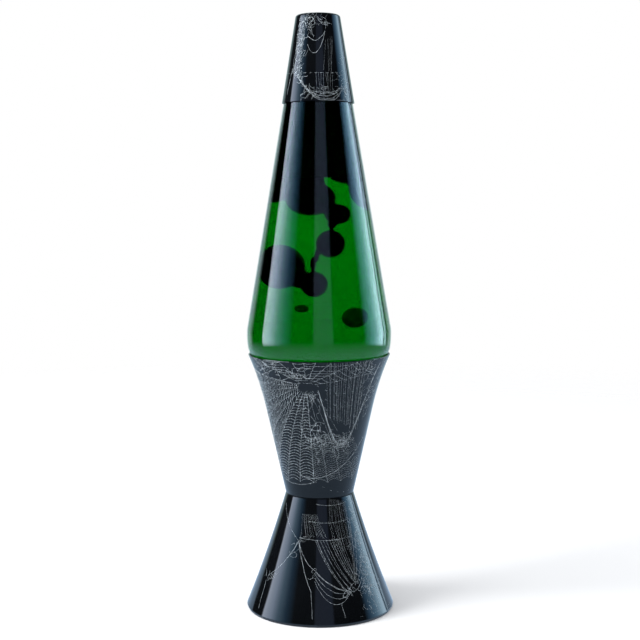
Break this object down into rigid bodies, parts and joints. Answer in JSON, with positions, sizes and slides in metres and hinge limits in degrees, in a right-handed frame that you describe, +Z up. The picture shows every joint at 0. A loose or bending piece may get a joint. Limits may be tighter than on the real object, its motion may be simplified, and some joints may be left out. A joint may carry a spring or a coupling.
{
  "type": "lava lamp",
  "caption": "Two-cone metal base with a bulb inside, a tapered glass globe of dyed liquid and dark wax, and a conical metal cap.",
  "frame": {"origin": "on the table, under the middle of the base", "axes": "+Z up along the lamp's axis, -Y towards the front, cord gland at the back"},
  "size_m": [0.0926, 0.0926, 0.3683],
  "materials": {
    "black_enamel": "gloss black enamel with a pale web print",
    "cover_plastic": "fine-textured black moulding",
    "gland_rubber": "soft black rubber",
    "zinc_steel": "zinc-plated steel",
    "holder_body": "cream moulded insulator",
    "brass": "bright brass",
    "bulb_metal": "rolled aluminium",
    "insulator_glass": "black fused glass",
    "solder": "dull solder",
    "bulb_clear": "clear blown glass",
    "tungsten": "drawn wire",
    "clear_glass": "clear blown glass",
    "green_liquid": "clear green liquid",
    "black_wax": "smooth black wax",
    "coil_wire": "drawn wire",
    "liner": "soft pale liner",
    "tinplate": "lacquered tinplate"
  },
  "bodies": {
    "base": {"bottom_cover": "cover_plastic", "base_lower_cone": "black_enamel", "cord_gland": "gland_rubber", "base_upper_cone": "black_enamel", "lamp_pipe": "zinc_steel", "lower_lock_washer": "zinc_steel", "lower_nut": "zinc_steel", "upper_lock_washer": "zinc_steel", "upper_nut": "zinc_steel", "socket_bracket": "zinc_steel", "socket_body": "holder_body", "socket_rivets": "brass", "socket_shell": "brass", "socket_contact": "brass", "front_terminal_screw": "brass", "back_terminal_screw": "brass"},
    "bulb_end": {"bulb_tip": "solder", "bulb_insulator": "insulator_glass"},
    "bulb": {"bulb_screw_shell": "bulb_metal", "bulb_glass": "bulb_clear", "bulb_stem": "bulb_clear", "bulb_wires": "tungsten", "bulb_filament": "tungsten"},
    "globe": {"globe_glass": "clear_glass", "globe_liquid": "green_liquid", "wax_rising": "black_wax", "wax_drop": "black_wax", "wax_bead": "black_wax", "wax_pool": "black_wax", "wax_coil": "coil_wire", "crown_liner": "liner", "crown_cap": "tinplate"},
    "cap": {"cap_shell": "black_enamel"}
  },
  "joints": [
    {"name": "globe_lift", "type": "slide", "parent": "base", "child": "globe", "axis": [0, 0, 1], "range_m": [0, 0.12]},
    {"name": "cap_lift", "type": "slide", "parent": "globe", "child": "cap", "axis": [0, 0, 1], "range_m": [0, 0.06]},
    {"name": "bulb_rise", "type": "slide", "parent": "base", "child": "bulb_end", "axis": [0, 0, 1], "range_m": [0, 0.00847]},
    {"name": "bulb_unscrew", "type": "hinge", "parent": "bulb_end", "child": "bulb", "pos_m": [0, 0, 0.088], "axis": [0, 0, 1], "range_deg": [0, 1080]}
  ],
  "couplings": [
    {"joint": "bulb_rise", "follows": "bulb_unscrew", "m_per_rad": 0.00044882}
  ]
}
